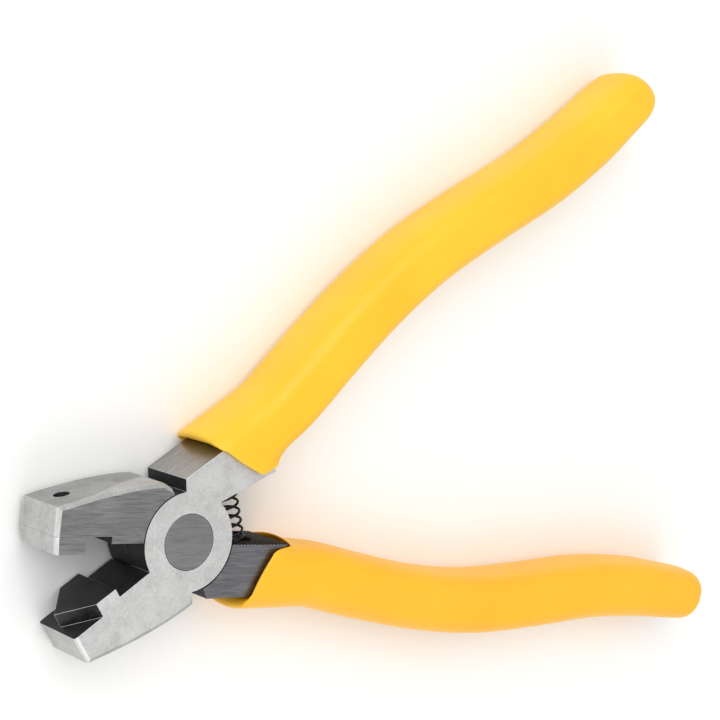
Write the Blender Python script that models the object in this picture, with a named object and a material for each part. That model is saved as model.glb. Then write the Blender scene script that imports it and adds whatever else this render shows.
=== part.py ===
# Lap-joint tile nippers: two forged levers on one rivet, held open by a small
# coil spring, with a stepped lower jaw, a V-grooved upper tooth and slip-on grips.
#
# Each lever is drawn closed, with its jaw along -X and its handle along +X, and
# hangs from an empty on the pivot axis that swings it open.
import math

import bmesh
import bpy
from mathutils import Matrix, Vector

MM = 0.001

# Head
HEAD_THICKNESS = 15.7 * MM
BOSS_RADIUS = 11.15 * MM
RIVET_RADIUS = 5.95 * MM
GAP = 0.3 * MM
HALF_OPEN = math.radians(18.0)
HALF = HEAD_THICKNESS / 2
POCKET_RADIUS = BOSS_RADIUS + GAP

# Jaw outline, measured from the pivot
JAW_LENGTH = 32.7 * MM
NOSE_HEIGHT = 7.7 * MM
JAW_CROWN_X = 17.0 * MM
JAW_CROWN_Y = 12.5 * MM
HEEL_X = 6.0 * MM
HEEL_Y = BOSS_RADIUS + 1.65 * MM
UPPER_HEEL_CHAMFER = 1.5 * MM
LOWER_HEEL_CHAMFER = 0.2 * MM
JAW_BEVEL = 0.9 * MM

# Bite: the block on the lower jaw stands in the notch of the upper one
BITE_STEP_X = 19.3 * MM
BITE_WALL_X = 24.85 * MM
BITE_CLEARANCE = 0.3 * MM
UPPER_LAND_Y = 0.0 * MM
UPPER_NOTCH_Y = 1.55 * MM
LOWER_LAND_Y = -0.2 * MM
BLOCK_HEIGHT = 2.3 * MM
BLOCK_POINT_X = 31.4 * MM
POCKET_FLOOR_Y = 1.05 * MM

# Tooth fixed under the upper jaw
TOOTH_DEPTH = 2.15 * MM
TOOTH_GROOVE_Y = 1.0 * MM
TOOTH_SET_BACK = 0.35 * MM
TOOTH_GROOVE_CLEARANCE = 0.5 * MM
STUD_LENGTH = 4.6 * MM
STUD_WIDTH = 9.0 * MM
STUD_HEIGHT = 1.7 * MM
SCREW_X = 27.9 * MM
SCREW_HOLE_RADIUS = 1.75 * MM
SCREW_HEAD_HEIGHT = 2.2 * MM
SCREW_KEY_RADIUS = 0.85 * MM
SCREW_KEY_DEPTH = 1.2 * MM

# Shank behind the boss
SHOULDER_X = 5.0 * MM
SHOULDER_Y = BOSS_RADIUS - 0.7 * MM
SHOULDER_RISE = 2.15 * MM
SHOULDER_CORNER = 1.1 * MM
SHOULDER_ROOT_X = 4.25 * MM
SHOULDER_ROOT_Y = SHOULDER_Y - 2.1 * MM
SHANK_END_X = 26.3 * MM
SHANK_OUTER_END_Y = 12.4 * MM
UPPER_INNER_START_Y = 2.8 * MM
UPPER_INNER_END_Y = 0.3 * MM
LOWER_INNER_START_Y = 0.56 * MM
LOWER_INNER_END_Y = 0.82 * MM
SERRATION_PITCH = 0.9 * MM
SERRATION_DEPTH = 0.35 * MM

# Grip: x, inner edge and outer edge of the closed handle's outline
GRIP_STATIONS = (
    (28.0, 1.2, 14.9),
    (40.0, 2.0, 17.7),
    (55.0, 5.2, 21.0),
    (72.0, 8.4, 24.0),
    (90.0, 9.9, 25.5),
    (110.0, 9.0, 24.7),
    (130.0, 7.5, 23.3),
    (148.0, 8.1, 23.7),
    (160.0, 9.8, 24.7),
    (170.8, 11.5, 25.3),
)
GRIP_TIP_X = 170.8 * MM
GRIP_TIP_RADIUS = 5.5 * MM
GRIP_TIP_INNER_SHRINK = 2.4 * MM
GRIP_TIP_OUTER_SHRINK = 3.8 * MM
GRIP_TIP_SKEW = 0.9 * MM
GRIP_HALF = HALF + 1.0 * MM
GRIP_MOUTH_HALF = HALF + GAP + 1.3 * MM
GRIP_CORNER = 3.9 * MM
GRIP_SIDE_CROWN = 1.5 * MM
MOUTH_INNER_CORNER = 1.1 * MM
MOUTH_OUTER_CORNER = 2.6 * MM
MOUTH_OUTER_X = SHANK_END_X - 11.0 * MM
MOUTH_SIDE_X = SHANK_END_X - 4.3 * MM
MOUTH_INNER_X = SHANK_END_X + 1.3 * MM
MOUTH_END_X = SHANK_END_X + 8.7 * MM
MOUTH_CROWN = 2.0 * MM
MOUTH_COLLAR = 1.7 * MM
MOUTH_OUTER_Y = 14.5 * MM
MOUTH_INNER_Y = 1.5 * MM
LIP_WALL = 1.25 * MM
LIP_SLANT = 0.9 * MM
LIP_LAND = 1.2 * MM

# Tang inside the grip
TANG_WALL = 2.3 * MM
TANG_HALF = 5.4 * MM
TANG_START_X = SHANK_END_X + 0.3 * MM
TANG_END_X = 150.0 * MM
TANG_CORNER = 1.2 * MM
TANG_CLEARANCE = 0.3 * MM
TANG_TIP_NARROWING = 1.2 * MM
TANG_TIP_THINNING = 0.75
TANG_ROOT_OVERLAP = 2.0 * MM
TANG_LEAD = 4.0 * MM
CAVITY_CORNER = 0.3 * MM
CORNER_SHARE = 0.98

# Spring between the shanks
SPRING_X = 15.9 * MM
SPRING_COIL_RADIUS = 2.55 * MM
SPRING_WIRE_RADIUS = 0.3 * MM
SPRING_PITCH = 2.15 * MM
SPRING_SEAT_X = 17.2 * MM
SPRING_SEAT_RADIUS = 4.0 * MM
SPRING_SEAT_DEPTH = 2.6 * MM
SPRING_TOP_Y = 7.0 * MM
SPRING_BOTTOM_Y = -6.3 * MM

CUT_OVERRUN = 1.0 * MM
ROUND_STEPS = 96
SCREW_STEPS = 32
SPRING_STEPS = 14
ARC_STEPS = 12
RING_CORNER_STEPS = 5
RING_SIDE_STEPS = 4
SLEEVE_STEPS = 40
MOUTH_STEPS = 8
TIP_STEPS = 6


def make_material(name, colour, roughness, metallic):
    material = bpy.data.materials.new(name)
    material.use_nodes = True
    shader = material.node_tree.nodes["Principled BSDF"]
    shader.inputs["Base Color"].default_value = (*colour, 1.0)
    shader.inputs["Roughness"].default_value = roughness
    shader.inputs["Metallic"].default_value = metallic
    return material


def make_object(name, bm, material=None, parent=None):
    bmesh.ops.recalc_face_normals(bm, faces=bm.faces)
    mesh = bpy.data.meshes.new(name)
    bm.to_mesh(mesh)
    bm.free()
    obj = bpy.data.objects.new(name, mesh)
    bpy.context.collection.objects.link(obj)
    obj.parent = parent
    if material:
        mesh.materials.append(material)
        mesh.shade_smooth()
        mesh.set_sharp_from_angle(angle=math.radians(30.0))
    return obj


def make_cutter(name, bm, parent):
    cutter = make_object(name, bm, parent=parent)
    cutter.hide_render = True
    cutter.display_type = "WIRE"
    return cutter


def combine(obj, other, operation):
    modifier = obj.modifiers.new(other.name, "BOOLEAN")
    modifier.operation = operation
    modifier.solver = "EXACT"
    modifier.object = other


def smoothstep(value):
    value = min(max(value, 0.0), 1.0)
    return value * value * (3.0 - 2.0 * value)


def lerp(start, end, share):
    return start + (end - start) * share


def extrude_outline(points, low, high):
    bm = bmesh.new()
    vertices = [bm.verts.new((x, y, low)) for x, y in points]
    face = bm.faces.new(vertices)
    raised = bmesh.ops.extrude_face_region(bm, geom=[face])
    moved = [item for item in raised["geom"] if isinstance(item, bmesh.types.BMVert)]
    bmesh.ops.translate(bm, verts=moved, vec=(0.0, 0.0, high - low))
    return bm


def bevel_rims(bm, width, wanted):
    # Bevels the edges of both flat faces whose midpoint is wanted.
    def on_rim(edge):
        a, b = (vertex.co for vertex in edge.verts)
        level = abs(a.z - b.z) < 1e-7 and abs(abs(a.z) - HALF) < 1e-6
        return level and wanted((a + b) / 2)

    rims = [edge for edge in bm.edges if on_rim(edge)]
    bmesh.ops.bevel(bm, geom=rims, offset=width, segments=2, profile=0.6, affect="EDGES")


def cylinder(radius, low, high, centre=(0.0, 0.0), steps=ROUND_STEPS):
    bm = bmesh.new()
    bmesh.ops.create_cone(
        bm, cap_ends=True, segments=steps, radius1=radius, radius2=radius, depth=high - low)
    bmesh.ops.translate(bm, verts=bm.verts, vec=(centre[0], centre[1], (low + high) / 2))
    return bm


def box(low, high):
    bm = bmesh.new()
    bmesh.ops.create_cube(bm, size=1.0)
    size = Vector(high) - Vector(low)
    bmesh.ops.scale(bm, verts=bm.verts, vec=size)
    bmesh.ops.translate(bm, verts=bm.verts, vec=(Vector(low) + Vector(high)) / 2)
    return bm


def jaw_crown(heel_chamfer):
    # One smooth curve from the top of the nose to the heel over the boss.
    start = Vector((-JAW_LENGTH, NOSE_HEIGHT))
    middle = Vector((-JAW_CROWN_X, JAW_CROWN_Y))
    end = Vector((-HEEL_X - heel_chamfer, HEEL_Y))
    points = []
    for step in range(ARC_STEPS + 1):
        t = step / ARC_STEPS
        points.append((1 - t) ** 2 * start + 2 * t * (1 - t) * middle + t * t * end)
    return points


def heel(heel_chamfer):
    # The chamfered back corner of the jaw, down into the boss.
    return [(-HEEL_X, HEEL_Y - heel_chamfer * 0.5), (-SHOULDER_X, SHOULDER_Y),
            (-SHOULDER_ROOT_X, SHOULDER_ROOT_Y)]


def shank_outer():
    # From the tang round the outer edge and the shoulder, into the boss.
    return [(SHANK_END_X, -SHANK_OUTER_END_Y),
            (SHOULDER_X + SHOULDER_CORNER, -SHOULDER_Y - SHOULDER_RISE),
            (SHOULDER_X, -SHOULDER_Y), (SHOULDER_ROOT_X, -SHOULDER_ROOT_Y)]


def serrated_edge(start, end):
    # Crosswise ridges along the inner face of the shank.
    length = end[0] - start[0]
    count = round(length / SERRATION_PITCH)
    points = []
    for index in range(count):
        x = start[0] + length * index / count
        y = lerp(start[1], end[1], index / count)
        points.append((x, y))
        points.append((x + length / count / 2, y - SERRATION_DEPTH))
    points.append(end)
    return points


def upper_bite():
    # From inside the boss out to the nose: land, step up, notch ceiling.
    return [(-SHOULDER_X, UPPER_LAND_Y), (-BITE_STEP_X, UPPER_LAND_Y),
            (-BITE_STEP_X, UPPER_NOTCH_Y), (-JAW_LENGTH, UPPER_NOTCH_Y)]


def lower_bite():
    # Drawn jaw up like its twin, so the block reaches down past the middle line.
    return [(-SHOULDER_X, LOWER_LAND_Y), (-BITE_STEP_X - BITE_CLEARANCE, LOWER_LAND_Y),
            (-BITE_STEP_X - BITE_CLEARANCE, -BLOCK_HEIGHT), (-JAW_LENGTH, -BLOCK_HEIGHT)]


def grip_outline(x):
    # Inner and outer edge of the closed handle at one place along it.
    stations = [(a * MM, b * MM, c * MM) for a, b, c in GRIP_STATIONS]
    last = len(stations) - 1
    index = 0
    while index < last - 1 and x > stations[index + 1][0]:
        index += 1
    before = stations[max(index - 1, 0)]
    start = stations[index]
    end = stations[index + 1]
    after = stations[min(index + 2, last)]
    share = (x - start[0]) / (end[0] - start[0])
    edges = []
    for k in (1, 2):
        rise = (end[k] - before[k]) / (end[0] - before[0]) * (end[0] - start[0])
        fall = (after[k] - start[k]) / (after[0] - start[0]) * (end[0] - start[0])
        cube = share ** 3
        square = share ** 2
        edges.append((2 * cube - 3 * square + 1) * start[k] + (cube - 2 * square + share) * rise
                     + (3 * square - 2 * cube) * end[k] + (cube - square) * fall)
    return edges


def ring_shape(corner_steps=RING_CORNER_STEPS, side_steps=RING_SIDE_STEPS):
    # A unit rounded rectangle as (side across, side up, corner x, corner y).
    shape = []
    corners = ((1, 1, 0.0), (-1, 1, 90.0), (-1, -1, 180.0), (1, -1, 270.0))
    for index, (sx, sy, start) in enumerate(corners):
        for step in range(corner_steps + 1):
            angle = math.radians(start + 90.0 * step / corner_steps)
            shape.append((sx, sy, math.cos(angle), math.sin(angle)))
        nx, ny, _ = corners[(index + 1) % 4]
        for step in range(1, side_steps):
            share = step / side_steps
            across = math.cos(math.radians(start + 90.0))
            up = math.sin(math.radians(start + 90.0))
            shape.append((lerp(sx, nx, share), lerp(sy, ny, share), across, up))
    return shape


def ring_points(inner, outer, half, corners, shape, crown=0.0):
    # Section across the handle: y between the two edges, z either side of the middle.
    # The corners may differ from the inner edge to the outer one, and the two sides
    # may fall away by the crown towards the flat faces.
    centre = (inner + outer) / 2
    width = (outer - inner) / 2
    points = []
    for sy, sz, cy, cz in shape:
        corner = lerp(corners[0], corners[1], (sy + 1) / 2)
        radius = min(corner, width * CORNER_SHARE, half * CORNER_SHARE)
        y = centre + sy * (width - radius) + cy * radius
        z = sz * (half - radius) + cz * radius
        fall = crown * (z / half) ** 2
        y -= fall * (y - centre) / width
        points.append((y, z))
    return points


def arch(z, half):
    # One at the middle of the thickness, nothing at either side.
    return max(0.0, 1.0 - (z / half) ** 2)


def mouth_point(y, z):
    # The lip slants back along the sides, arched over the outer edge and with
    # an arched collar round the inner one.
    share = (MOUTH_OUTER_Y - y) / (MOUTH_OUTER_Y - MOUTH_INNER_Y)
    bow = arch(z, GRIP_MOUTH_HALF)
    x = lerp(MOUTH_OUTER_X, MOUTH_SIDE_X, share)
    if share < 0.5:
        return x, y + MOUTH_CROWN * bow * (1.0 - 2.0 * share)
    back = smoothstep((GRIP_MOUTH_HALF - abs(z)) / LIP_WALL)
    x = lerp(x, MOUTH_INNER_X, back * smoothstep((share - 0.55) * 4.0))
    return x, y - MOUTH_COLLAR * bow * smoothstep(2.0 * share - 1.0)


def bridge_rings(bm, rings):
    for first, second in zip(rings, rings[1:]):
        count = len(first)
        for index in range(count):
            after = (index + 1) % count
            bm.faces.new((first[index], first[after], second[after], second[index]))


def add_ring(bm, positions):
    return [bm.verts.new((x, -y, z)) for x, y, z in positions]


def sleeve_section(x, shape):
    # Outside of the grip, drawn in to a rounded end at the tip.
    inner, outer = grip_outline(x)
    half = GRIP_HALF
    reach = x - (GRIP_TIP_X - GRIP_TIP_RADIUS)
    if reach > 0:
        share = min(reach / GRIP_TIP_RADIUS, CORNER_SHARE)
        shrink = 1 - math.sqrt(1 - share * share)
        inner += GRIP_TIP_INNER_SHRINK * shrink
        outer -= GRIP_TIP_OUTER_SHRINK * shrink
        half -= GRIP_TIP_INNER_SHRINK * shrink
    return ring_points(inner, outer, half, (GRIP_CORNER, GRIP_CORNER), shape, GRIP_SIDE_CROWN)


def tang_edges(x):
    inner, outer = grip_outline(x)
    narrowing = TANG_TIP_NARROWING * (x - TANG_START_X) / (TANG_END_X - TANG_START_X)
    return inner + TANG_WALL + narrowing, outer - TANG_WALL - narrowing


def tang_half(x):
    return lerp(TANG_HALF, TANG_HALF * TANG_TIP_THINNING, (x - TANG_START_X) / (TANG_END_X - TANG_START_X))


def build_sleeve():
    bm = bmesh.new()
    shape = ring_shape()
    start_inner, start_outer = grip_outline(MOUTH_END_X)
    start_outside = ring_points(start_inner, start_outer, GRIP_HALF, (GRIP_CORNER, GRIP_CORNER), shape,
                                GRIP_SIDE_CROWN)
    mouth_outside = ring_points(MOUTH_INNER_Y, MOUTH_OUTER_Y, GRIP_MOUTH_HALF,
                                (MOUTH_INNER_CORNER, MOUTH_OUTER_CORNER), shape)
    lip = [(*mouth_point(y, z), z) for y, z in mouth_outside]
    outside = []
    for step in range(MOUTH_STEPS + 1):
        share = step / MOUTH_STEPS
        settle = 1 - (1 - share) ** 2
        ring = []
        for (x0, my, mz), (sy, sz) in zip(lip, start_outside):
            ring.append((lerp(x0, MOUTH_END_X, share), lerp(my, sy, settle), lerp(mz, sz, settle)))
        outside.append(add_ring(bm, ring))
    straight_end = GRIP_TIP_X - GRIP_TIP_RADIUS
    for step in range(1, SLEEVE_STEPS + 1):
        x = lerp(MOUTH_END_X, straight_end, step / SLEEVE_STEPS)
        outside.append(add_ring(bm, [(x, y, z) for y, z in sleeve_section(x, shape)]))
    for step in range(1, TIP_STEPS + 1):
        share = math.sin(math.radians(90.0 * step / TIP_STEPS))
        x = straight_end + GRIP_TIP_RADIUS * share
        section = sleeve_section(x, shape)
        centre = sum(y for y, _ in section) / len(section)
        reach = max(y for y, _ in section) - centre
        ring = [(x + GRIP_TIP_SKEW * share * (centre - y) / reach, y, z) for y, z in section]
        outside.append(add_ring(bm, ring))

    # The cavity clears the full shank at the mouth and then follows the tang.
    cavity_outer = SHANK_OUTER_END_Y + GAP
    cavity_inner = MOUTH_INNER_Y + LIP_WALL
    mouth_inside = ring_points(cavity_inner, cavity_outer, HALF + GAP, (CAVITY_CORNER, CAVITY_CORNER), shape)
    deep = SHANK_END_X + GAP * 2
    cavity = []
    for depth in (LIP_SLANT, LIP_SLANT + LIP_LAND, deep):
        ring = []
        for (x0, lip_y, _), (y, z) in zip(lip, mouth_inside):
            x = x0 + depth
            if depth == deep:
                x = max(deep, x0 + LIP_SLANT + LIP_LAND + GAP)
            elif lip_y < y:
                y = max(lip_y + LIP_WALL, y - MOUTH_COLLAR)
            ring.append((x, y, z))
        cavity.append(add_ring(bm, ring))
    for step in range(SLEEVE_STEPS // 2 + 1):
        x = lerp(MOUTH_END_X - TANG_LEAD, TANG_END_X + TANG_CLEARANCE, step / (SLEEVE_STEPS // 2))
        inner, outer = tang_edges(x)
        section = ring_points(inner - TANG_CLEARANCE, outer + TANG_CLEARANCE,
                              tang_half(x) + TANG_CLEARANCE, (TANG_CORNER, TANG_CORNER), shape)
        cavity.append(add_ring(bm, [(x, y, z) for y, z in section]))

    bridge_rings(bm, outside)
    bridge_rings(bm, cavity)
    bridge_rings(bm, [outside[0], cavity[0]])
    bm.faces.new(outside[-1])
    bm.faces.new(cavity[-1])
    return bm


def build_tang():
    # Starts inside the shank so that the two become one forging.
    bm = bmesh.new()
    shape = ring_shape(2, 1)
    rings = []
    steps = SLEEVE_STEPS // 2
    first = SHANK_END_X - TANG_ROOT_OVERLAP
    inner, outer = tang_edges(TANG_START_X)
    section = ring_points(inner, outer, TANG_HALF, (TANG_CORNER, TANG_CORNER), shape)
    rings.append(add_ring(bm, [(first, y, z) for y, z in section]))
    for step in range(steps + 1):
        x = lerp(MOUTH_END_X - TANG_LEAD, TANG_END_X, step / steps)
        inner, outer = tang_edges(x)
        section = ring_points(inner, outer, tang_half(x), (TANG_CORNER, TANG_CORNER), shape)
        rings.append(add_ring(bm, [(x, y, z) for y, z in section]))
    bridge_rings(bm, rings)
    bm.faces.new(rings[0])
    bm.faces.new(rings[-1])
    return bm


def build_lever(name, bite, inner_edge, heel_chamfer, material, parent, seat_y):
    outline = [tuple(point) for point in jaw_crown(heel_chamfer)] + heel(heel_chamfer) + inner_edge
    outline += shank_outer() + bite
    bm = extrude_outline(outline, -HALF, HALF)
    nose_x = -JAW_LENGTH
    bevel_rims(bm, JAW_BEVEL, lambda p: p.x < nose_x + 1e-5 or (p.x < -HEEL_X and p.y > NOSE_HEIGHT))
    lever = make_object(name, bm, material, parent)
    boss = make_cutter(name + "_boss", cylinder(BOSS_RADIUS, -HALF, -GAP / 2), parent)
    combine(lever, boss, "UNION")
    tang = make_cutter(name + "_tang", build_tang(), parent)
    combine(lever, tang, "UNION")
    pocket = make_cutter(name + "_pocket", cylinder(POCKET_RADIUS, -GAP / 2, HALF * 2), parent)
    combine(lever, pocket, "DIFFERENCE")
    hole = make_cutter(name + "_rivet_hole", cylinder(RIVET_RADIUS + GAP, -HALF * 2, HALF * 2), parent)
    combine(lever, hole, "DIFFERENCE")
    seat = cylinder(SPRING_SEAT_RADIUS, 0.0, SPRING_SEAT_DEPTH * 3, steps=SCREW_STEPS)
    turn = Matrix.Rotation(math.radians(90.0), 4, "X")
    bmesh.ops.transform(seat, matrix=turn, verts=seat.verts)
    bmesh.ops.translate(seat, verts=seat.verts, vec=(SPRING_SEAT_X, -seat_y + SPRING_SEAT_DEPTH * 2, 0.0))
    combine(lever, make_cutter(name + "_spring_seat", seat, parent), "DIFFERENCE")
    return lever


def prism_between(plan, low, high):
    # A plan outline in x and z, raised along y.
    bm = bmesh.new()
    face = bm.faces.new([bm.verts.new((x, low, z)) for x, z in plan])
    raised = bmesh.ops.extrude_face_region(bm, geom=[face])
    moved = [item for item in raised["geom"] if isinstance(item, bmesh.types.BMVert)]
    bmesh.ops.translate(bm, verts=moved, vec=(0.0, high - low, 0.0))
    return bm


def wedge_sides(parent):
    # Cuts away both flanks of the lower block, leaving a point near the nose.
    cutters = []
    past_nose = -JAW_LENGTH - CUT_OVERRUN
    for side in (-1, 1):
        plan = [(-BITE_WALL_X, side * HALF), (-BLOCK_POINT_X, 0.0), (past_nose, 0.0),
                (past_nose, side * HALF * 1.5), (-BITE_WALL_X, side * HALF * 1.5)]
        bm = prism_between(plan, -BLOCK_HEIGHT * 2, POCKET_FLOOR_Y)
        cutters.append(make_cutter("wedge_side_%d" % (side + 2), bm, parent))
    return cutters


def build_tooth(material, parent):
    # The groove clears the lower jaw's pointed block on both flanks.
    front = -JAW_LENGTH + TOOTH_SET_BACK
    back = -BITE_WALL_X - BITE_CLEARANCE
    bm = box((front, -TOOTH_DEPTH, -HALF), (back, UPPER_NOTCH_Y - GAP, HALF))
    tooth = make_object("tooth_insert", bm, material, parent)
    apex_x = -BLOCK_POINT_X - TOOTH_GROOVE_CLEARANCE
    open_x = back + CUT_OVERRUN
    slope = HALF / (BLOCK_POINT_X - BITE_WALL_X)
    reach = (open_x - apex_x) * slope
    plan = [(apex_x, 0.0), (open_x, -reach), (open_x, reach)]
    groove = prism_between(plan, -TOOTH_DEPTH * 2, TOOTH_GROOVE_Y)
    combine(tooth, make_cutter("tooth_groove", groove, parent), "DIFFERENCE")
    stud = box((-SCREW_X - STUD_LENGTH / 2, TOOTH_GROOVE_Y, -STUD_WIDTH / 2),
               (-SCREW_X + STUD_LENGTH / 2, UPPER_NOTCH_Y + STUD_HEIGHT, STUD_WIDTH / 2))
    combine(tooth, make_cutter("tooth_stud", stud, parent), "UNION")
    return tooth


def build_spring(material, parent):
    curve = bpy.data.curves.new("return_spring", "CURVE")
    curve.dimensions = "3D"
    curve.bevel_depth = SPRING_WIRE_RADIUS
    curve.bevel_resolution = 1
    curve.use_fill_caps = True
    length = SPRING_TOP_Y - SPRING_BOTTOM_Y
    turns = length / SPRING_PITCH
    count = round(turns * SPRING_STEPS) + 1
    spline = curve.splines.new("POLY")
    spline.points.add(count - 1)
    for index in range(count):
        angle = 2 * math.pi * index / SPRING_STEPS
        share = index / (count - 1)
        x = SPRING_X + SPRING_COIL_RADIUS * math.cos(angle)
        z = SPRING_COIL_RADIUS * math.sin(angle)
        spline.points[index].co = (x, lerp(SPRING_BOTTOM_Y, SPRING_TOP_Y, share), z, 1.0)
    curve.materials.append(material)
    spring = bpy.data.objects.new("return_spring", curve)
    bpy.context.collection.objects.link(spring)
    spring.parent = parent
    return spring


def make_pivot(name, angle, flip):
    pivot = bpy.data.objects.new(name, None)
    bpy.context.collection.objects.link(pivot)
    pivot.location = (0.0, 0.0, HALF)
    pivot.rotation_mode = "XYZ"
    pivot.rotation_euler = (math.pi if flip else 0.0, 0.0, angle)
    return pivot


def main():
    for obj in list(bpy.data.objects):
        bpy.data.objects.remove(obj, do_unlink=True)

    ground_steel = make_material("ground_steel_light", (0.60, 0.60, 0.59), 0.42, 0.9)
    brushed_steel = make_material("brushed_steel_grey", (0.30, 0.30, 0.31), 0.36, 0.95)
    rivet_steel = make_material("rivet_steel", (0.24, 0.24, 0.25), 0.34, 0.95)
    tooth_steel = make_material("hardened_steel", (0.36, 0.36, 0.36), 0.34, 0.95)
    black_oxide = make_material("black_oxide_steel", (0.02, 0.02, 0.022), 0.45, 0.7)
    yellow_grip = make_material("yellow_vinyl", (0.95, 0.60, 0.03), 0.38, 0.0)

    # The rear lever carries the upper jaw, the front one the lower jaw.
    rear = make_pivot("rear_pivot", -HALF_OPEN, False)
    front = make_pivot("front_pivot", HALF_OPEN, True)
    head = make_pivot("head_centre", 0.0, False)

    rear_inner = [(SHOULDER_X, 0.0)] + serrated_edge(
        (BOSS_RADIUS, -LOWER_INNER_START_Y), (SHANK_END_X, -LOWER_INNER_END_Y))
    build_lever("rear_lever", upper_bite(), rear_inner, UPPER_HEEL_CHAMFER, brushed_steel, rear,
                LOWER_INNER_END_Y)
    front_inner = [(SHOULDER_X, -UPPER_INNER_START_Y), (BOSS_RADIUS, -UPPER_INNER_START_Y),
                   (SHANK_END_X, -UPPER_INNER_END_Y)]
    front_lever = build_lever("front_lever", lower_bite(), front_inner, LOWER_HEEL_CHAMFER, ground_steel,
                              front, (UPPER_INNER_START_Y + UPPER_INNER_END_Y) / 2)
    for cutter in wedge_sides(front):
        combine(front_lever, cutter, "DIFFERENCE")

    rear_lever = bpy.data.objects["rear_lever"]
    room_length = STUD_LENGTH / 2 + GAP
    room_width = STUD_WIDTH / 2 + GAP
    stud_room = box((-SCREW_X - room_length, UPPER_NOTCH_Y - CUT_OVERRUN, -room_width),
                    (-SCREW_X + room_length, UPPER_NOTCH_Y + STUD_HEIGHT + GAP, room_width))
    combine(rear_lever, make_cutter("stud_pocket", stud_room, rear), "DIFFERENCE")
    turn = Matrix.Rotation(math.radians(-90.0), 4, "X")
    bore = cylinder(SCREW_HOLE_RADIUS, UPPER_NOTCH_Y, JAW_CROWN_Y * 1.5, steps=SCREW_STEPS)
    bmesh.ops.transform(bore, matrix=turn, verts=bore.verts)
    bmesh.ops.translate(bore, verts=bore.verts, vec=(-SCREW_X, 0.0, 0.0))
    combine(rear_lever, make_cutter("screw_bore", bore, rear), "DIFFERENCE")

    build_tooth(tooth_steel, rear)
    seat_y = UPPER_NOTCH_Y + STUD_HEIGHT + GAP
    screw = cylinder(SCREW_HOLE_RADIUS - GAP, seat_y, seat_y + SCREW_HEAD_HEIGHT, steps=SCREW_STEPS)
    bmesh.ops.transform(screw, matrix=turn, verts=screw.verts)
    bmesh.ops.translate(screw, verts=screw.verts, vec=(-SCREW_X, 0.0, 0.0))
    insert_screw = make_object("insert_screw", screw, black_oxide, rear)
    key_top = seat_y + SCREW_HEAD_HEIGHT
    key = cylinder(SCREW_KEY_RADIUS, key_top - SCREW_KEY_DEPTH, key_top + CUT_OVERRUN, steps=6)
    bmesh.ops.transform(key, matrix=turn, verts=key.verts)
    bmesh.ops.translate(key, verts=key.verts, vec=(-SCREW_X, 0.0, 0.0))
    combine(insert_screw, make_cutter("screw_key", key, rear), "DIFFERENCE")

    make_object("pivot_rivet", cylinder(RIVET_RADIUS, -HALF, HALF), rivet_steel, head)
    build_spring(black_oxide, head)
    make_object("rear_grip", build_sleeve(), yellow_grip, rear)
    make_object("front_grip", build_sleeve(), yellow_grip, front)


main()
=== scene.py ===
import math

import bmesh
import bpy
from mathutils import Matrix, Vector


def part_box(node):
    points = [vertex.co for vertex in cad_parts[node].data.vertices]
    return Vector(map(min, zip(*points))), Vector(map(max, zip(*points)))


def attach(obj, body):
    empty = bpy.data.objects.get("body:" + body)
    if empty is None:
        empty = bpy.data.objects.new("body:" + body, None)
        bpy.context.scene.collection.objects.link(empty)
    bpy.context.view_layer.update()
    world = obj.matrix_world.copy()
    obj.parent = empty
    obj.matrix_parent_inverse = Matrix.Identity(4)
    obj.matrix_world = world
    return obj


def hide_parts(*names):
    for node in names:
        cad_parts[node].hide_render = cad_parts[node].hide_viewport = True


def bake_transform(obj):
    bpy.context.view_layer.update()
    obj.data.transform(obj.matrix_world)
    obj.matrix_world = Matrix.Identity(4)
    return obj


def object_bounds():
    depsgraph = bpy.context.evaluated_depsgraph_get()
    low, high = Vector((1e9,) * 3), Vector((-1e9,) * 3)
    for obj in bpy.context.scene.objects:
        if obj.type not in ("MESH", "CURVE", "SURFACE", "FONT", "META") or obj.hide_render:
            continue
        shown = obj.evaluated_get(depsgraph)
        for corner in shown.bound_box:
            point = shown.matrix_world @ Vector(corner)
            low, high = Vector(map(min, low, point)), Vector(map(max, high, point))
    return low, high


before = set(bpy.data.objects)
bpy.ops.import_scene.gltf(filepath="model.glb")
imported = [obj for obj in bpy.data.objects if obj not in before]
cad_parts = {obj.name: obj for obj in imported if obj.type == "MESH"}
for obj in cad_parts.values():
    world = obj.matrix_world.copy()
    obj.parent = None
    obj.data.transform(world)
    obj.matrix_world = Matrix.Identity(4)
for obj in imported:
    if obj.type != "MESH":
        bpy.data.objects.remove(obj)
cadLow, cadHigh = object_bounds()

mm = 0.001
rivetLow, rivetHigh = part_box("pivot_rivet")
midZ = (rivetLow.z + rivetHigh.z) / 2          # middle of the head's thickness
headHalf = (rivetHigh.z - rivetLow.z) / 2
halfOpen = math.radians(18.0)                  # each lever's swing from closed to the rest pose
weldGap = 0.002 * mm                           # points closer than this are one
nearlyLevel = 0.02 * mm                        # points this close share a plane
flatWithin = math.radians(1.0)
sharpFrom = math.radians(20.0)


def hexToLinear(hexColour):
    channels = []
    for start in (1, 3, 5):
        value = int(hexColour[start:start + 2], 16) / 255
        channels.append(value / 12.92 if value <= 0.04045 else ((value + 0.055) / 1.055) ** 2.4)
    return (*channels, 1.0)


def addNode(tree, kind, settings=None, links=None):
    # settings may name the node's own options or its sockets; links go into sockets
    node = tree.nodes.new(kind)
    for name, value in (settings or {}).items():
        if isinstance(name, str) and hasattr(node, name):
            setattr(node, name, value)
        else:
            node.inputs[name].default_value = value
    for name, output in (links or {}).items():
        tree.links.new(output, node.inputs[name])
    return node


def startMaterial(name):
    material = bpy.data.materials.new(name)
    material.use_nodes = True
    tree = material.node_tree
    return material, tree, tree.nodes["Principled BSDF"]


def setRamp(ramp, stops):
    elements = ramp.color_ramp.elements
    while len(elements) < len(stops):
        elements.new(0.5)
    for element, (place, colour) in zip(elements, stops):
        element.position = place
        element.color = colour


print("materials")

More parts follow.
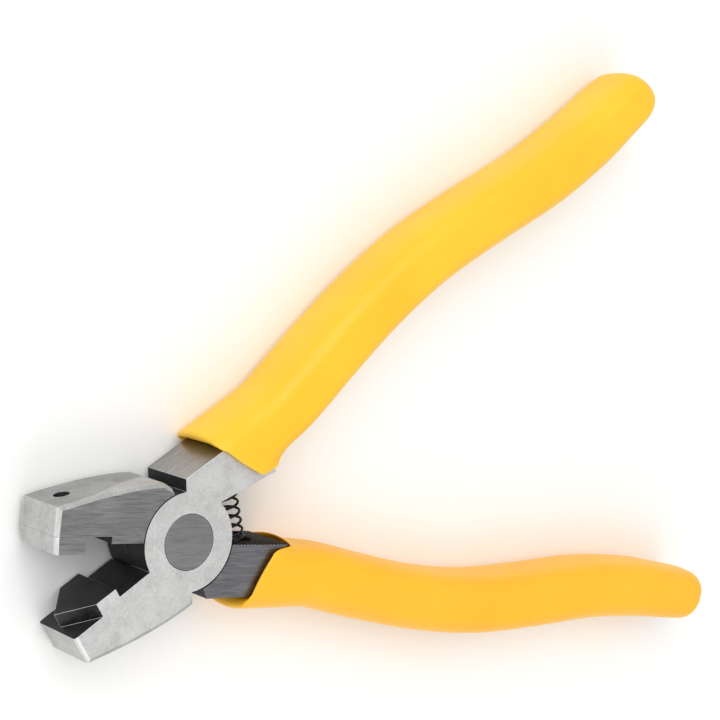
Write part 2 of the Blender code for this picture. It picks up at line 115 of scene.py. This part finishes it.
noiseLow = 0.3                # noise seldom leaves this band
noiseHigh = 0.7

brushing = {
    "lineSpacing": 0.26,      # mm between scratches; the real belt leaves about 0.1, too fine to show
    "lineLength": 5.0,        # mm
    "grainSize": 0.45,        # mm
    "blotchSize": 9.0,        # mm
    "grainShare": 0.25,
    "blotchShare": 0.35,
    "depth": 0.04,            # mm
    "bump": 0.28,
    "glossier": 0.07,         # how far roughness falls and rises along the streaks
    "duller": 0.09,
}


def brushedSteel(name, light, dark, roughness, turn, strength=1.0, scratch=1.0):
    # Forged carbon steel, belt ground along the jaw: fine parallel streaks that break the
    # reflections into soft lines, with cloudy patches where the belt pressed harder.
    material, tree, shader = startMaterial(name)
    place = addNode(tree, "ShaderNodeTexCoord")
    along = addNode(tree, "ShaderNodeMapping", {"Rotation": (0.0, 0.0, turn)},
                    {"Vector": place.outputs["Object"]})
    across = 1.0 / (brushing["lineSpacing"] * mm)
    stretched = addNode(tree, "ShaderNodeMapping",
                        {"Scale": (1.0 / (brushing["lineLength"] * mm), across, across)},
                        {"Vector": along.outputs["Vector"]})
    streaks = addNode(tree, "ShaderNodeTexNoise", {"Scale": 1.0, "Detail": 4.0, "Roughness": 0.62},
                      {"Vector": stretched.outputs["Vector"]})
    grain = addNode(tree, "ShaderNodeTexNoise",
                    {"Scale": 1.0 / (brushing["grainSize"] * mm), "Detail": 3.0, "Roughness": 0.7},
                    {"Vector": along.outputs["Vector"]})
    blotches = addNode(tree, "ShaderNodeTexNoise",
                       {"Scale": 1.0 / (brushing["blotchSize"] * mm), "Detail": 2.0},
                       {"Vector": along.outputs["Vector"]})
    mixed = addNode(tree, "ShaderNodeMath",
                    {"operation": "MULTIPLY_ADD", 1: brushing["grainShare"] * scratch},
                    {0: grain.outputs["Fac"], 2: streaks.outputs["Fac"]})
    clouded = addNode(tree, "ShaderNodeMath", {"operation": "MULTIPLY_ADD", 1: brushing["blotchShare"]},
                      {0: blotches.outputs["Fac"], 2: mixed.outputs["Value"]})
    ramp = addNode(tree, "ShaderNodeValToRGB", {}, {"Fac": clouded.outputs["Value"]})
    setRamp(ramp, ((0.48, hexToLinear(dark)), (1.0, hexToLinear(light))))
    tree.links.new(ramp.outputs["Color"], shader.inputs["Base Color"])
    sheen = addNode(tree, "ShaderNodeMapRange",
                    {"From Min": noiseLow, "From Max": noiseHigh,
                     "To Min": roughness - brushing["glossier"], "To Max": roughness + brushing["duller"]},
                    {"Value": streaks.outputs["Fac"]})
    tree.links.new(sheen.outputs["Result"], shader.inputs["Roughness"])
    bump = addNode(tree, "ShaderNodeBump",
                   {"Strength": brushing["bump"] * strength, "Distance": brushing["depth"] * mm},
                   {"Height": mixed.outputs["Value"]})
    tree.links.new(bump.outputs["Normal"], shader.inputs["Normal"])
    shader.inputs["Metallic"].default_value = 1.0
    return material


blasting = {
    "gritSize": 0.5,          # mm
    "patchSize": 4.5,         # mm
    "patchShare": 0.7,
    "depth": 0.04,            # mm
    "bump": 0.16,
    "glossier": 0.06,
    "duller": 0.08,
}


def mattGroundSteel(name, light, dark, roughness):
    # Shot-blasted then lightly ground steel: pale, even and silky, with a fine salt-and-pepper
    # grain and faint cloudy patches instead of streaks.
    material, tree, shader = startMaterial(name)
    place = addNode(tree, "ShaderNodeTexCoord")
    grain = addNode(tree, "ShaderNodeTexNoise",
                    {"Scale": 1.0 / (blasting["gritSize"] * mm), "Detail": 4.0, "Roughness": 0.75},
                    {"Vector": place.outputs["Object"]})
    patches = addNode(tree, "ShaderNodeTexNoise",
                      {"Scale": 1.0 / (blasting["patchSize"] * mm), "Detail": 3.0, "Roughness": 0.6},
                      {"Vector": place.outputs["Object"]})
    both = addNode(tree, "ShaderNodeMath", {"operation": "MULTIPLY_ADD", 1: blasting["patchShare"]},
                   {0: patches.outputs["Fac"], 2: grain.outputs["Fac"]})
    ramp = addNode(tree, "ShaderNodeValToRGB", {}, {"Fac": both.outputs["Value"]})
    setRamp(ramp, ((0.6, hexToLinear(dark)), (1.0, hexToLinear(light))))
    tree.links.new(ramp.outputs["Color"], shader.inputs["Base Color"])
    sheen = addNode(tree, "ShaderNodeMapRange",
                    {"From Min": noiseLow, "From Max": noiseHigh,
                     "To Min": roughness - blasting["glossier"], "To Max": roughness + blasting["duller"]},
                    {"Value": grain.outputs["Fac"]})
    tree.links.new(sheen.outputs["Result"], shader.inputs["Roughness"])
    bump = addNode(tree, "ShaderNodeBump",
                   {"Strength": blasting["bump"], "Distance": blasting["depth"] * mm},
                   {"Height": grain.outputs["Fac"]})
    tree.links.new(bump.outputs["Normal"], shader.inputs["Normal"])
    shader.inputs["Metallic"].default_value = 1.0
    return material


blacking = {
    "gritSize": 0.5,          # mm
    "patchSize": 5.0,         # mm
    "patchShare": 0.6,
    "depth": 0.05,            # mm
    "bump": 0.5,
    "glossier": 0.1,
    "duller": 0.15,
    "metallic": 0.55,         # the oxide skin hides part of the metal
}


def blackOxideSteel(name, light="#3A3A3B", dark="#161617", roughness=0.5):
    # Hot-blacked forging skin: near black, faintly mottled, with a dull oily sheen.
    material, tree, shader = startMaterial(name)
    place = addNode(tree, "ShaderNodeTexCoord")
    grit = addNode(tree, "ShaderNodeTexNoise",
                   {"Scale": 1.0 / (blacking["gritSize"] * mm), "Detail": 5.0, "Roughness": 0.7},
                   {"Vector": place.outputs["Object"]})
    patches = addNode(tree, "ShaderNodeTexNoise",
                      {"Scale": 1.0 / (blacking["patchSize"] * mm), "Detail": 3.0},
                      {"Vector": place.outputs["Object"]})
    both = addNode(tree, "ShaderNodeMath", {"operation": "MULTIPLY_ADD", 1: blacking["patchShare"]},
                   {0: patches.outputs["Fac"], 2: grit.outputs["Fac"]})
    ramp = addNode(tree, "ShaderNodeValToRGB", {}, {"Fac": both.outputs["Value"]})
    setRamp(ramp, ((0.55, hexToLinear(dark)), (1.0, hexToLinear(light))))
    tree.links.new(ramp.outputs["Color"], shader.inputs["Base Color"])
    sheen = addNode(tree, "ShaderNodeMapRange",
                    {"From Min": noiseLow, "From Max": noiseHigh,
                     "To Min": roughness - blacking["glossier"], "To Max": roughness + blacking["duller"]},
                    {"Value": grit.outputs["Fac"]})
    tree.links.new(sheen.outputs["Result"], shader.inputs["Roughness"])
    bump = addNode(tree, "ShaderNodeBump",
                   {"Strength": blacking["bump"], "Distance": blacking["depth"] * mm},
                   {"Height": grit.outputs["Fac"]})
    tree.links.new(bump.outputs["Normal"], shader.inputs["Normal"])
    shader.inputs["Metallic"].default_value = blacking["metallic"]
    return material


dipping = {
    "peelSize": 1.1,          # mm
    "waveSize": 22.0,         # mm
    "depth": 0.06,            # mm
    "bump": 0.12,
    "glossiest": 0.36,
    "dullest": 0.46,
    "reach": 1.6,             # mm, how deep light goes in
}


def mouldedVinyl(name, light, dark):
    # Dip-moulded soft PVC: saturated warm yellow, satin, with a faint orange-peel skin;
    # light passes a little way in, so thin lips and shaded folds turn orange.
    material, tree, shader = startMaterial(name)
    place = addNode(tree, "ShaderNodeTexCoord")
    peel = addNode(tree, "ShaderNodeTexNoise",
                   {"Scale": 1.0 / (dipping["peelSize"] * mm), "Detail": 2.0, "Roughness": 0.5},
                   {"Vector": place.outputs["Object"]})
    waves = addNode(tree, "ShaderNodeTexNoise",
                    {"Scale": 1.0 / (dipping["waveSize"] * mm), "Detail": 1.0},
                    {"Vector": place.outputs["Object"]})
    ramp = addNode(tree, "ShaderNodeValToRGB", {}, {"Fac": waves.outputs["Fac"]})
    setRamp(ramp, ((noiseLow, hexToLinear(dark)), (noiseHigh, hexToLinear(light))))
    tree.links.new(ramp.outputs["Color"], shader.inputs["Base Color"])
    sheen = addNode(tree, "ShaderNodeMapRange",
                    {"From Min": noiseLow, "From Max": noiseHigh,
                     "To Min": dipping["glossiest"], "To Max": dipping["dullest"]},
                    {"Value": peel.outputs["Fac"]})
    tree.links.new(sheen.outputs["Result"], shader.inputs["Roughness"])
    bump = addNode(tree, "ShaderNodeBump",
                   {"Strength": dipping["bump"], "Distance": dipping["depth"] * mm},
                   {"Height": peel.outputs["Fac"]})
    tree.links.new(bump.outputs["Normal"], shader.inputs["Normal"])
    shader.inputs["IOR"].default_value = 1.53
    shader.inputs["Subsurface Weight"].default_value = 0.18
    shader.inputs["Subsurface Radius"].default_value = (1.0, 0.45, 0.08)
    shader.inputs["Subsurface Scale"].default_value = dipping["reach"] * mm
    return material


groundLight = mattGroundSteel("steel_matt_ground", "#DFDFDE", "#C3C3C2", 0.5)
groundEdge = mattGroundSteel("steel_ground_edge", "#C9C9C8", "#A5A5A4", 0.46)
# a darker copy of the ground steel for the upper jaw's crown: painted shade, where the crown reflects the
# pliers' own shadow
crownPaintedShade = mattGroundSteel("steel_ground_crown_painted_shade", "#AEAEAD", "#8C8C8B", 0.46)
# near black steel for the lower jaw's pocket: painted shade, the pocket lies in shadow
pocketPaintedShade = mattGroundSteel("steel_pocket_painted_shade", "#545453", "#2C2C2B", 0.42)
brushedDark = brushedSteel("steel_belt_brushed", "#9C9C9C", "#686869", 0.4, halfOpen)
brushedShank = brushedSteel("steel_belt_brushed_shank", "#8B8B8E", "#5B5C60", 0.38, halfOpen)
brushedFrontShank = brushedSteel("steel_belt_brushed_front_shank", "#B3B2B1", "#7C7B7A", 0.33, -halfOpen)
brushedRivet = brushedSteel("steel_rivet_brushed", "#9A9A9B", "#7A7A7B", 0.42, halfOpen, 0.5, 0.6)
# pale steel on the broken edges and nose bevels: painted highlight where the edges catch the light
edgeHighlight = mattGroundSteel("steel_edge_painted_highlight", "#DCDCDB", "#C6C6C4", 0.36)
blackOxide = blackOxideSteel("steel_black_oxide")
springWire = blackOxideSteel("spring_wire_black", "#2A2A2A", "#101010", 0.38)
frontVinyl = mouldedVinyl("vinyl_yellow_dipped", "#FFC924", "#FFC21A")
# the same yellow vinyl a little deeper for the lower grip: painted shade, that grip lies in shade
rearVinylPaintedShade = mouldedVinyl("vinyl_yellow_dipped_painted_shade", "#FFBE1C", "#FFB814")


print("levers")

lever = {
    "edgeRadius": 0.16,       # mm, broken edges
    "edgeAngle": 32.0,        # degrees
    "noseX": -32.7,           # mm, closed lever
    "noseDepth": 1.2,
    "screwX": 27.9,           # from the pivot towards the nose
    "screwReach": 2.2,
    "screwFloorY": 1.6,
    "heelX": -5.0,
    "crownY": 6.5,
    "pocketX": -24.0,
    "pocketY": 1.1,
    "shankX": 5.0,
    "shankBackY": -11.8,
    "bossRadius": 11.2,
    "gripMouthX": 26.6,
    "paintedLightNoseX": -26.2,      # painted light, a lighter triangle on the upper jaw's crown: its point, and how far across it reaches at the heel
    "paintedLightHeelZ": -2.8,       # and how far across it reaches at the heel
}

# how much of a face's normal lies along an axis
facing = {
    "upright": 0.2,           # a wall
    "leaning": 0.3,
    "sideways": 0.5,
    "mostly": 0.6,
    "square": 0.7,
    "flat": 0.97,
}

# places in each lever's list of finishes; the last is its painted shade, on the crown or in the pocket
flatSlot, edgeSlot, blackSlot, highlightSlot, shankSlot, paintedShadeSlot = range(6)


def copyOfNode(nodeName, pieceName):
    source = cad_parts[nodeName]
    mesh = source.data.copy()
    mesh.name = pieceName
    mesh.transform(source.matrix_world)
    mesh.materials.clear()
    piece = bpy.data.objects.new(pieceName, mesh)
    bpy.context.collection.objects.link(piece)
    return piece


def leverFrame(flip):
    # Turns a point at rest into its lever's own closed drawing, jaw up.
    turn = Matrix.Rotation(-halfOpen if flip else halfOpen, 4, "Z")
    centre = Matrix.Translation((0.0, 0.0, -midZ))
    over = Matrix.Rotation(math.pi, 4, "X") if flip else Matrix.Identity(4)
    return over @ turn @ centre


def leverMaterials(flip):
    if flip:
        return [groundLight, groundEdge, blackOxide, edgeHighlight, brushedFrontShank, pocketPaintedShade]
    return [brushedDark, groundEdge, blackOxide, edgeHighlight, brushedShank, crownPaintedShade]


def paintedLightSide():
    # An upright plane along the long side of the crown's painted light triangle, facing the triangle.
    point = Vector((lever["paintedLightNoseX"] * mm, 0.0, headHalf))
    along = Vector((lever["heelX"] * mm, 0.0, lever["paintedLightHeelZ"] * mm)) - point
    return point, Vector((-along.z, 0.0, along.x)).normalized()


def leverSlot(centre, normal, flip):
    # Which finish a face of the forging has, or which painted light or shade it gets.
    x = centre.x / mm
    y = centre.y / mm
    slope = abs(normal.z)
    inNose = x < lever["noseX"] + lever["noseDepth"]
    onCrown = x < lever["heelX"] and y > lever["crownY"]
    fromScrew = math.hypot(x + lever["screwX"], centre.z / mm)
    # the screw's counterbore walls take the black oxide, also as painted shade of the deep hole
    if (not flip and fromScrew < lever["screwReach"] and y > lever["screwFloorY"]
            and abs(normal.y) < facing["sideways"]):
        return blackSlot
    # the nose's bevel faces carry the painted highlight
    if facing["upright"] < slope < facing["flat"] and inNose:
        return highlightSlot
    if facing["upright"] < slope < facing["flat"] and onCrown:
        return edgeSlot
    # the lower jaw's pocket is painted in shade
    if (flip and x < lever["pocketX"] and y < lever["pocketY"]
            and facing["leaning"] < slope < facing["flat"]):
        return paintedShadeSlot
    if slope > facing["mostly"]:
        if x > lever["shankX"] and not flip and math.hypot(x, y) > lever["bossRadius"]:
            return shankSlot
        return flatSlot
    if inNose and normal.x < -facing["sideways"]:
        return edgeSlot
    # the upper jaw's crown: the triangle is painted light with the edge steel, the rest painted shade
    if onCrown and normal.y > facing["leaning"]:
        point, inward = paintedLightSide()
        return edgeSlot if flip or (centre - point).dot(inward) > 0 else paintedShadeSlot
    if x > lever["shankX"] and y < lever["shankBackY"] and normal.y < -facing["square"]:
        return shankSlot
    if x > lever["gripMouthX"]:
        return shankSlot
    return blackSlot


def cutPaintedLight(bm, toLever):
    # Splits the crown's faces along the painted light triangle, without changing their shape, so the
    # triangle can be painted lighter.
    turnOnly = toLever.to_3x3()
    parts = []
    for face in bm.faces:
        centre = toLever @ face.calc_center_median()
        if (centre.x < lever["heelX"] * mm and centre.y > lever["crownY"] * mm
                and (turnOnly @ face.normal).y > facing["leaning"]
                and abs(face.normal.z) < facing["upright"]):
            parts += [face, *face.edges, *face.verts]
    point, inward = paintedLightSide()
    bmesh.ops.bisect_plane(bm, geom=list(dict.fromkeys(parts)), plane_co=toLever.inverted() @ point,
                           plane_no=turnOnly.inverted() @ inward)
    bm.normal_update()


def joinFlats(bm):
    bmesh.ops.remove_doubles(bm, verts=bm.verts, dist=weldGap)
    bmesh.ops.dissolve_limit(bm, angle_limit=flatWithin, verts=bm.verts, edges=bm.edges)


def breakEdges(piece, width, slot):
    bevel = piece.modifiers.new("brokenEdges", "BEVEL")
    bevel.width = width * mm
    bevel.segments = 2
    bevel.limit_method = "ANGLE"
    bevel.angle_limit = math.radians(lever["edgeAngle"])
    bevel.material = slot
    piece.data.shade_smooth()
    piece.data.set_sharp_from_angle(angle=sharpFrom)
    return bevel


def makeLever(nodeName, pieceName, body, flip):
    piece = copyOfNode(nodeName, pieceName)
    toLever = leverFrame(flip)
    bm = bmesh.new()
    bm.from_mesh(piece.data)
    joinFlats(bm)
    bm.normal_update()
    for material in leverMaterials(flip):
        piece.data.materials.append(material)
    if not flip:
        cutPaintedLight(bm, toLever)
    turnOnly = toLever.to_3x3()
    for face in bm.faces:
        face.material_index = leverSlot(toLever @ face.calc_center_median(), turnOnly @ face.normal, flip)
    bm.to_mesh(piece.data)
    bm.free()
    # the broken edges are painted with the highlight steel
    bevel = breakEdges(piece, lever["edgeRadius"], highlightSlot)
    bevel.loop_slide = False
    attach(piece, body)
    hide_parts(nodeName)


makeLever("rear_lever", "rearLever", "rear_half", False)
makeLever("front_lever", "frontLever", "front_half", True)


print("tooth, screw and rivet")


def makeBevelledCopy(nodeName, pieceName, body, materials, width):
    piece = copyOfNode(nodeName, pieceName)
    bm = bmesh.new()
    bm.from_mesh(piece.data)
    joinFlats(bm)
    bm.to_mesh(piece.data)
    bm.free()
    for material in materials:
        piece.data.materials.append(material)
    breakEdges(piece, width, len(materials) - 1)
    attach(piece, body)
    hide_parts(nodeName)
    return piece


seam = {
    "lift": 0.26,             # mm, the block seats almost tight under the jaw
    "forward": 0.32,          # mm, how far the block's top leans out past the jaw
    "topY": 1.25,
    "noseBevel": 0.8,
    "noseProfile": 0.6,
    "edgeRadius": 0.05,
}
toothBlock = makeBevelledCopy("tooth_insert", "toothBlock", "rear_half",
                              [brushedDark, groundEdge, blackOxide, edgeHighlight], seam["edgeRadius"])
toLever = leverFrame(False)
bm = bmesh.new()
bm.from_mesh(toothBlock.data)
bm.transform(toLever)
frontX = min(vertex.co.x for vertex in bm.verts)
front = [vertex for vertex in bm.verts if vertex.co.x < frontX + nearlyLevel]
bottomY = min(vertex.co.y for vertex in front)
for vertex in front:
    rise = (vertex.co.y - bottomY) / (seam["topY"] * mm - bottomY)
    vertex.co.x -= rise * seam["forward"] * mm
for vertex in bm.verts:
    if abs(vertex.co.y - seam["topY"] * mm) < nearlyLevel:
        vertex.co.y += seam["lift"] * mm
corners = [edge for edge in bm.edges
           if all(vertex in front for vertex in edge.verts)
           and abs(edge.verts[0].co.z - edge.verts[1].co.z) < nearlyLevel]
bevelled = bmesh.ops.bevel(bm, geom=corners, offset=seam["noseBevel"] * mm, segments=2,
                           profile=seam["noseProfile"], affect="EDGES")
bm.normal_update()
for face in bm.faces:
    if face.normal.x < -facing["flat"]:
        face.material_index = edgeSlot
    elif abs(face.normal.z) > facing["flat"]:
        face.material_index = flatSlot
    else:
        face.material_index = blackSlot
# the nose bevels carry the painted highlight
for face in bevelled["faces"]:
    face.material_index = highlightSlot
bm.transform(toLever.inverted())
bm.to_mesh(toothBlock.data)
bm.free()

screw = {
    "edgeRadius": 0.12,       # mm
}
makeBevelledCopy("insert_screw", "insertScrew", "rear_half", [blackOxide], screw["edgeRadius"])

peening = {
    "spread": 0.2,            # mm, the driven rivet swells to fill most of its clearance
    "edgeRadius": 0.05,
}
rivet = makeBevelledCopy("pivot_rivet", "pivotRivet", "rear_half", [brushedRivet], peening["edgeRadius"])
for vertex in rivet.data.vertices:
    radius = math.hypot(vertex.co.x, vertex.co.y)
    if radius > 0:
        vertex.co.x *= 1 + peening["spread"] * mm / radius
        vertex.co.y *= 1 + peening["spread"] * mm / radius


print("spring")

spring = {
    "x": 15.6,                # mm
    "bottomY": -6.3,
    "topY": 7.0,
    "coilRadius": 2.55,
    "startTurn": 0.73,        # where round the coil the wire begins
    "wireRadius": 0.3,
    "activeTurns": 5.4,
    "closedTurns": 0.8,       # wound close at each end to sit square
    "closedPitch": 2.1,       # wire radii from turn to turn there
    "held": 0.8,              # mm at each end that its shank holds
    "stepsPerTurn": 40,
    "wireSides": 12,
}


def springCentre(share):
    # A right-hand coil: close-wound ends with an even pitch between.
    total = spring["activeTurns"] + 2 * spring["closedTurns"]
    turn = share * total
    closeRise = spring["closedPitch"] * spring["wireRadius"]
    low = spring["bottomY"] + spring["wireRadius"]
    high = spring["topY"] - spring["wireRadius"]
    endRise = spring["closedTurns"] * closeRise
    if turn < spring["closedTurns"]:
        y = low + turn * closeRise
    elif turn > total - spring["closedTurns"]:
        y = high - (total - turn) * closeRise
    else:
        openShare = (turn - spring["closedTurns"]) / spring["activeTurns"]
        y = low + endRise + openShare * (high - low - 2 * endRise)
    angle = -2 * math.pi * (turn + spring["startTurn"]) + math.pi / 2
    x = spring["x"] + spring["coilRadius"] * math.cos(angle)
    z = midZ / mm + spring["coilRadius"] * math.sin(angle)
    return Vector((x, y, z)) * mm


def makeTube(pieceName, path, radius, sides):
    bm = bmesh.new()
    rings = []
    previous = None
    for index, point in enumerate(path):
        ahead = path[min(index + 1, len(path) - 1)]
        behind = path[max(index - 1, 0)]
        tangent = (ahead - behind).normalized()
        side = previous if previous else tangent.orthogonal().normalized()
        side = (side - tangent * side.dot(tangent)).normalized()
        previous = side
        up = tangent.cross(side)
        rings.append([bm.verts.new(point + radius * (side * math.cos(a) + up * math.sin(a)))
                      for a in (2 * math.pi * k / sides for k in range(sides))])
    for first, second in zip(rings, rings[1:]):
        for k in range(sides):
            bm.faces.new((first[k], first[(k + 1) % sides], second[(k + 1) % sides], second[k]))
    bm.faces.new(rings[0])
    bm.faces.new(rings[-1])
    bmesh.ops.recalc_face_normals(bm, faces=bm.faces)
    mesh = bpy.data.meshes.new(pieceName)
    bm.to_mesh(mesh)
    bm.free()
    mesh.shade_smooth()
    piece = bpy.data.objects.new(pieceName, mesh)
    bpy.context.collection.objects.link(piece)
    return piece


turns = spring["activeTurns"] + 2 * spring["closedTurns"]
stepCount = round(turns * spring["stepsPerTurn"])
coil = makeTube("springCoil", [springCentre(step / stepCount) for step in range(stepCount + 1)],
                spring["wireRadius"] * mm, spring["wireSides"])
coil.data.materials.append(springWire)
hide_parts("return_spring")
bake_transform(coil)


print("grips")

grip = {
    "smoothing": 2,           # subdivision levels
    "joinWithin": 50.0,       # degrees, triangles this near to level or square become one face
}


def makeGrip(nodeName, pieceName, body, vinyl):
    piece = copyOfNode(nodeName, pieceName)
    bm = bmesh.new()
    bm.from_mesh(piece.data)
    joinWithin = math.radians(grip["joinWithin"])
    bmesh.ops.remove_doubles(bm, verts=bm.verts, dist=weldGap)
    bmesh.ops.join_triangles(bm, faces=bm.faces, angle_face_threshold=joinWithin,
                             angle_shape_threshold=joinWithin)
    bm.to_mesh(piece.data)
    bm.free()
    piece.data.materials.append(vinyl)
    smooth = piece.modifiers.new("smooth", "SUBSURF")
    smooth.levels = grip["smoothing"]
    smooth.render_levels = grip["smoothing"]
    piece.data.shade_smooth()
    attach(piece, body)
    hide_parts(nodeName)


makeGrip("rear_grip", "rearGrip", "rear_half", rearVinylPaintedShade)
makeGrip("front_grip", "frontGrip", "front_half", frontVinyl)


print("studio")

studio = {
    "floorColour": "#FAFAF9",
    "floorRoughness": 0.9,
    "floorReach": 3.0,                              # m
    "floorDrop": 0.1,                               # mm below the tool
    "skyTop": 0.74,
    "skyHorizon": 0.62,
    "skyTopHeight": 0.9,
    "lightAim": (60.0, 0.0, 0.0),
    "keyFrom": (-250.0, 700.0, 950.0),
    "keyWatts": 7.5,
    "keySize": 1.1,                                 # m
    "fillFrom": (-100.0, -700.0, 700.0),
    "fillWatts": 2.2,
    "fillSize": 0.9,
    "lens": 90.5,                                   # mm on the sensor below
    "sensor": 36.0,
    "nearest": 0.01,                                # m
    "cameraFrom": (-185.1, 131.9, 328.8),           # mm from the middle of the pivot
    "cameraAim": (57.5, 24.3, 0.5),
    "cameraUp": (0.263, 0.957, -0.12),
}


def studioPoint(values):
    return Vector((values[0] * mm, values[1] * mm, midZ + values[2] * mm))


def placeLight(name, values, size, watts):
    data = bpy.data.lights.new(name, "AREA")
    data.size = size
    data.energy = watts
    light = bpy.data.objects.new(name, data)
    bpy.context.collection.objects.link(light)
    light.location = studioPoint(values)
    light.rotation_mode = "QUATERNION"
    light.rotation_quaternion = (studioPoint(studio["lightAim"]) - light.location).to_track_quat("-Z", "Y")


floorMesh = bpy.data.meshes.new("floor")
reach = studio["floorReach"]
floorZ = cadLow.z - studio["floorDrop"] * mm
floorCorners = ((-reach, -reach), (reach, -reach), (reach, reach), (-reach, reach))
floorMesh.from_pydata([(x, y, floorZ) for x, y in floorCorners], [], [(0, 1, 2, 3)])
floor = bpy.data.objects.new("floor", floorMesh)
bpy.context.collection.objects.link(floor)
floorMaterial, floorTree, floorShader = startMaterial("floor_matt_white")
floorShader.inputs["Base Color"].default_value = hexToLinear(studio["floorColour"])
floorShader.inputs["Roughness"].default_value = studio["floorRoughness"]
floorMesh.materials.append(floorMaterial)

world = bpy.data.worlds.new("studio")
bpy.context.scene.world = world
world.use_nodes = True
skyTree = world.node_tree
skyPlace = addNode(skyTree, "ShaderNodeTexCoord")
skyHeight = addNode(skyTree, "ShaderNodeSeparateXYZ", {}, {"Vector": skyPlace.outputs["Generated"]})
skyLevel = addNode(skyTree, "ShaderNodeMapRange",
                   {"From Min": 0.0, "From Max": studio["skyTopHeight"],
                    "To Min": studio["skyHorizon"], "To Max": studio["skyTop"]},
                   {"Value": skyHeight.outputs["Z"]})
skyTree.links.new(skyLevel.outputs["Result"], skyTree.nodes["Background"].inputs["Strength"])
skyTree.nodes["Background"].inputs["Color"].default_value = (1.0, 1.0, 1.0, 1.0)
placeLight("keyLight", studio["keyFrom"], studio["keySize"], studio["keyWatts"])
placeLight("fillLight", studio["fillFrom"], studio["fillSize"], studio["fillWatts"])

cameraData = bpy.data.cameras.new("camera")
cameraData.lens = studio["lens"]
cameraData.sensor_width = studio["sensor"]
cameraData.clip_start = studio["nearest"]
camera = bpy.data.objects.new("camera", cameraData)
bpy.context.collection.objects.link(camera)
eye = studioPoint(studio["cameraFrom"])
forward = (studioPoint(studio["cameraAim"]) - eye).normalized()
right = forward.cross(Vector(studio["cameraUp"])).normalized()
up = right.cross(forward)
turn = Matrix((right, up, -forward)).transposed().to_4x4()
camera.matrix_world = Matrix.Translation(eye) @ turn
bpy.context.scene.camera = camera
bpy.context.scene.view_settings.view_transform = "Standard"

print("finish")
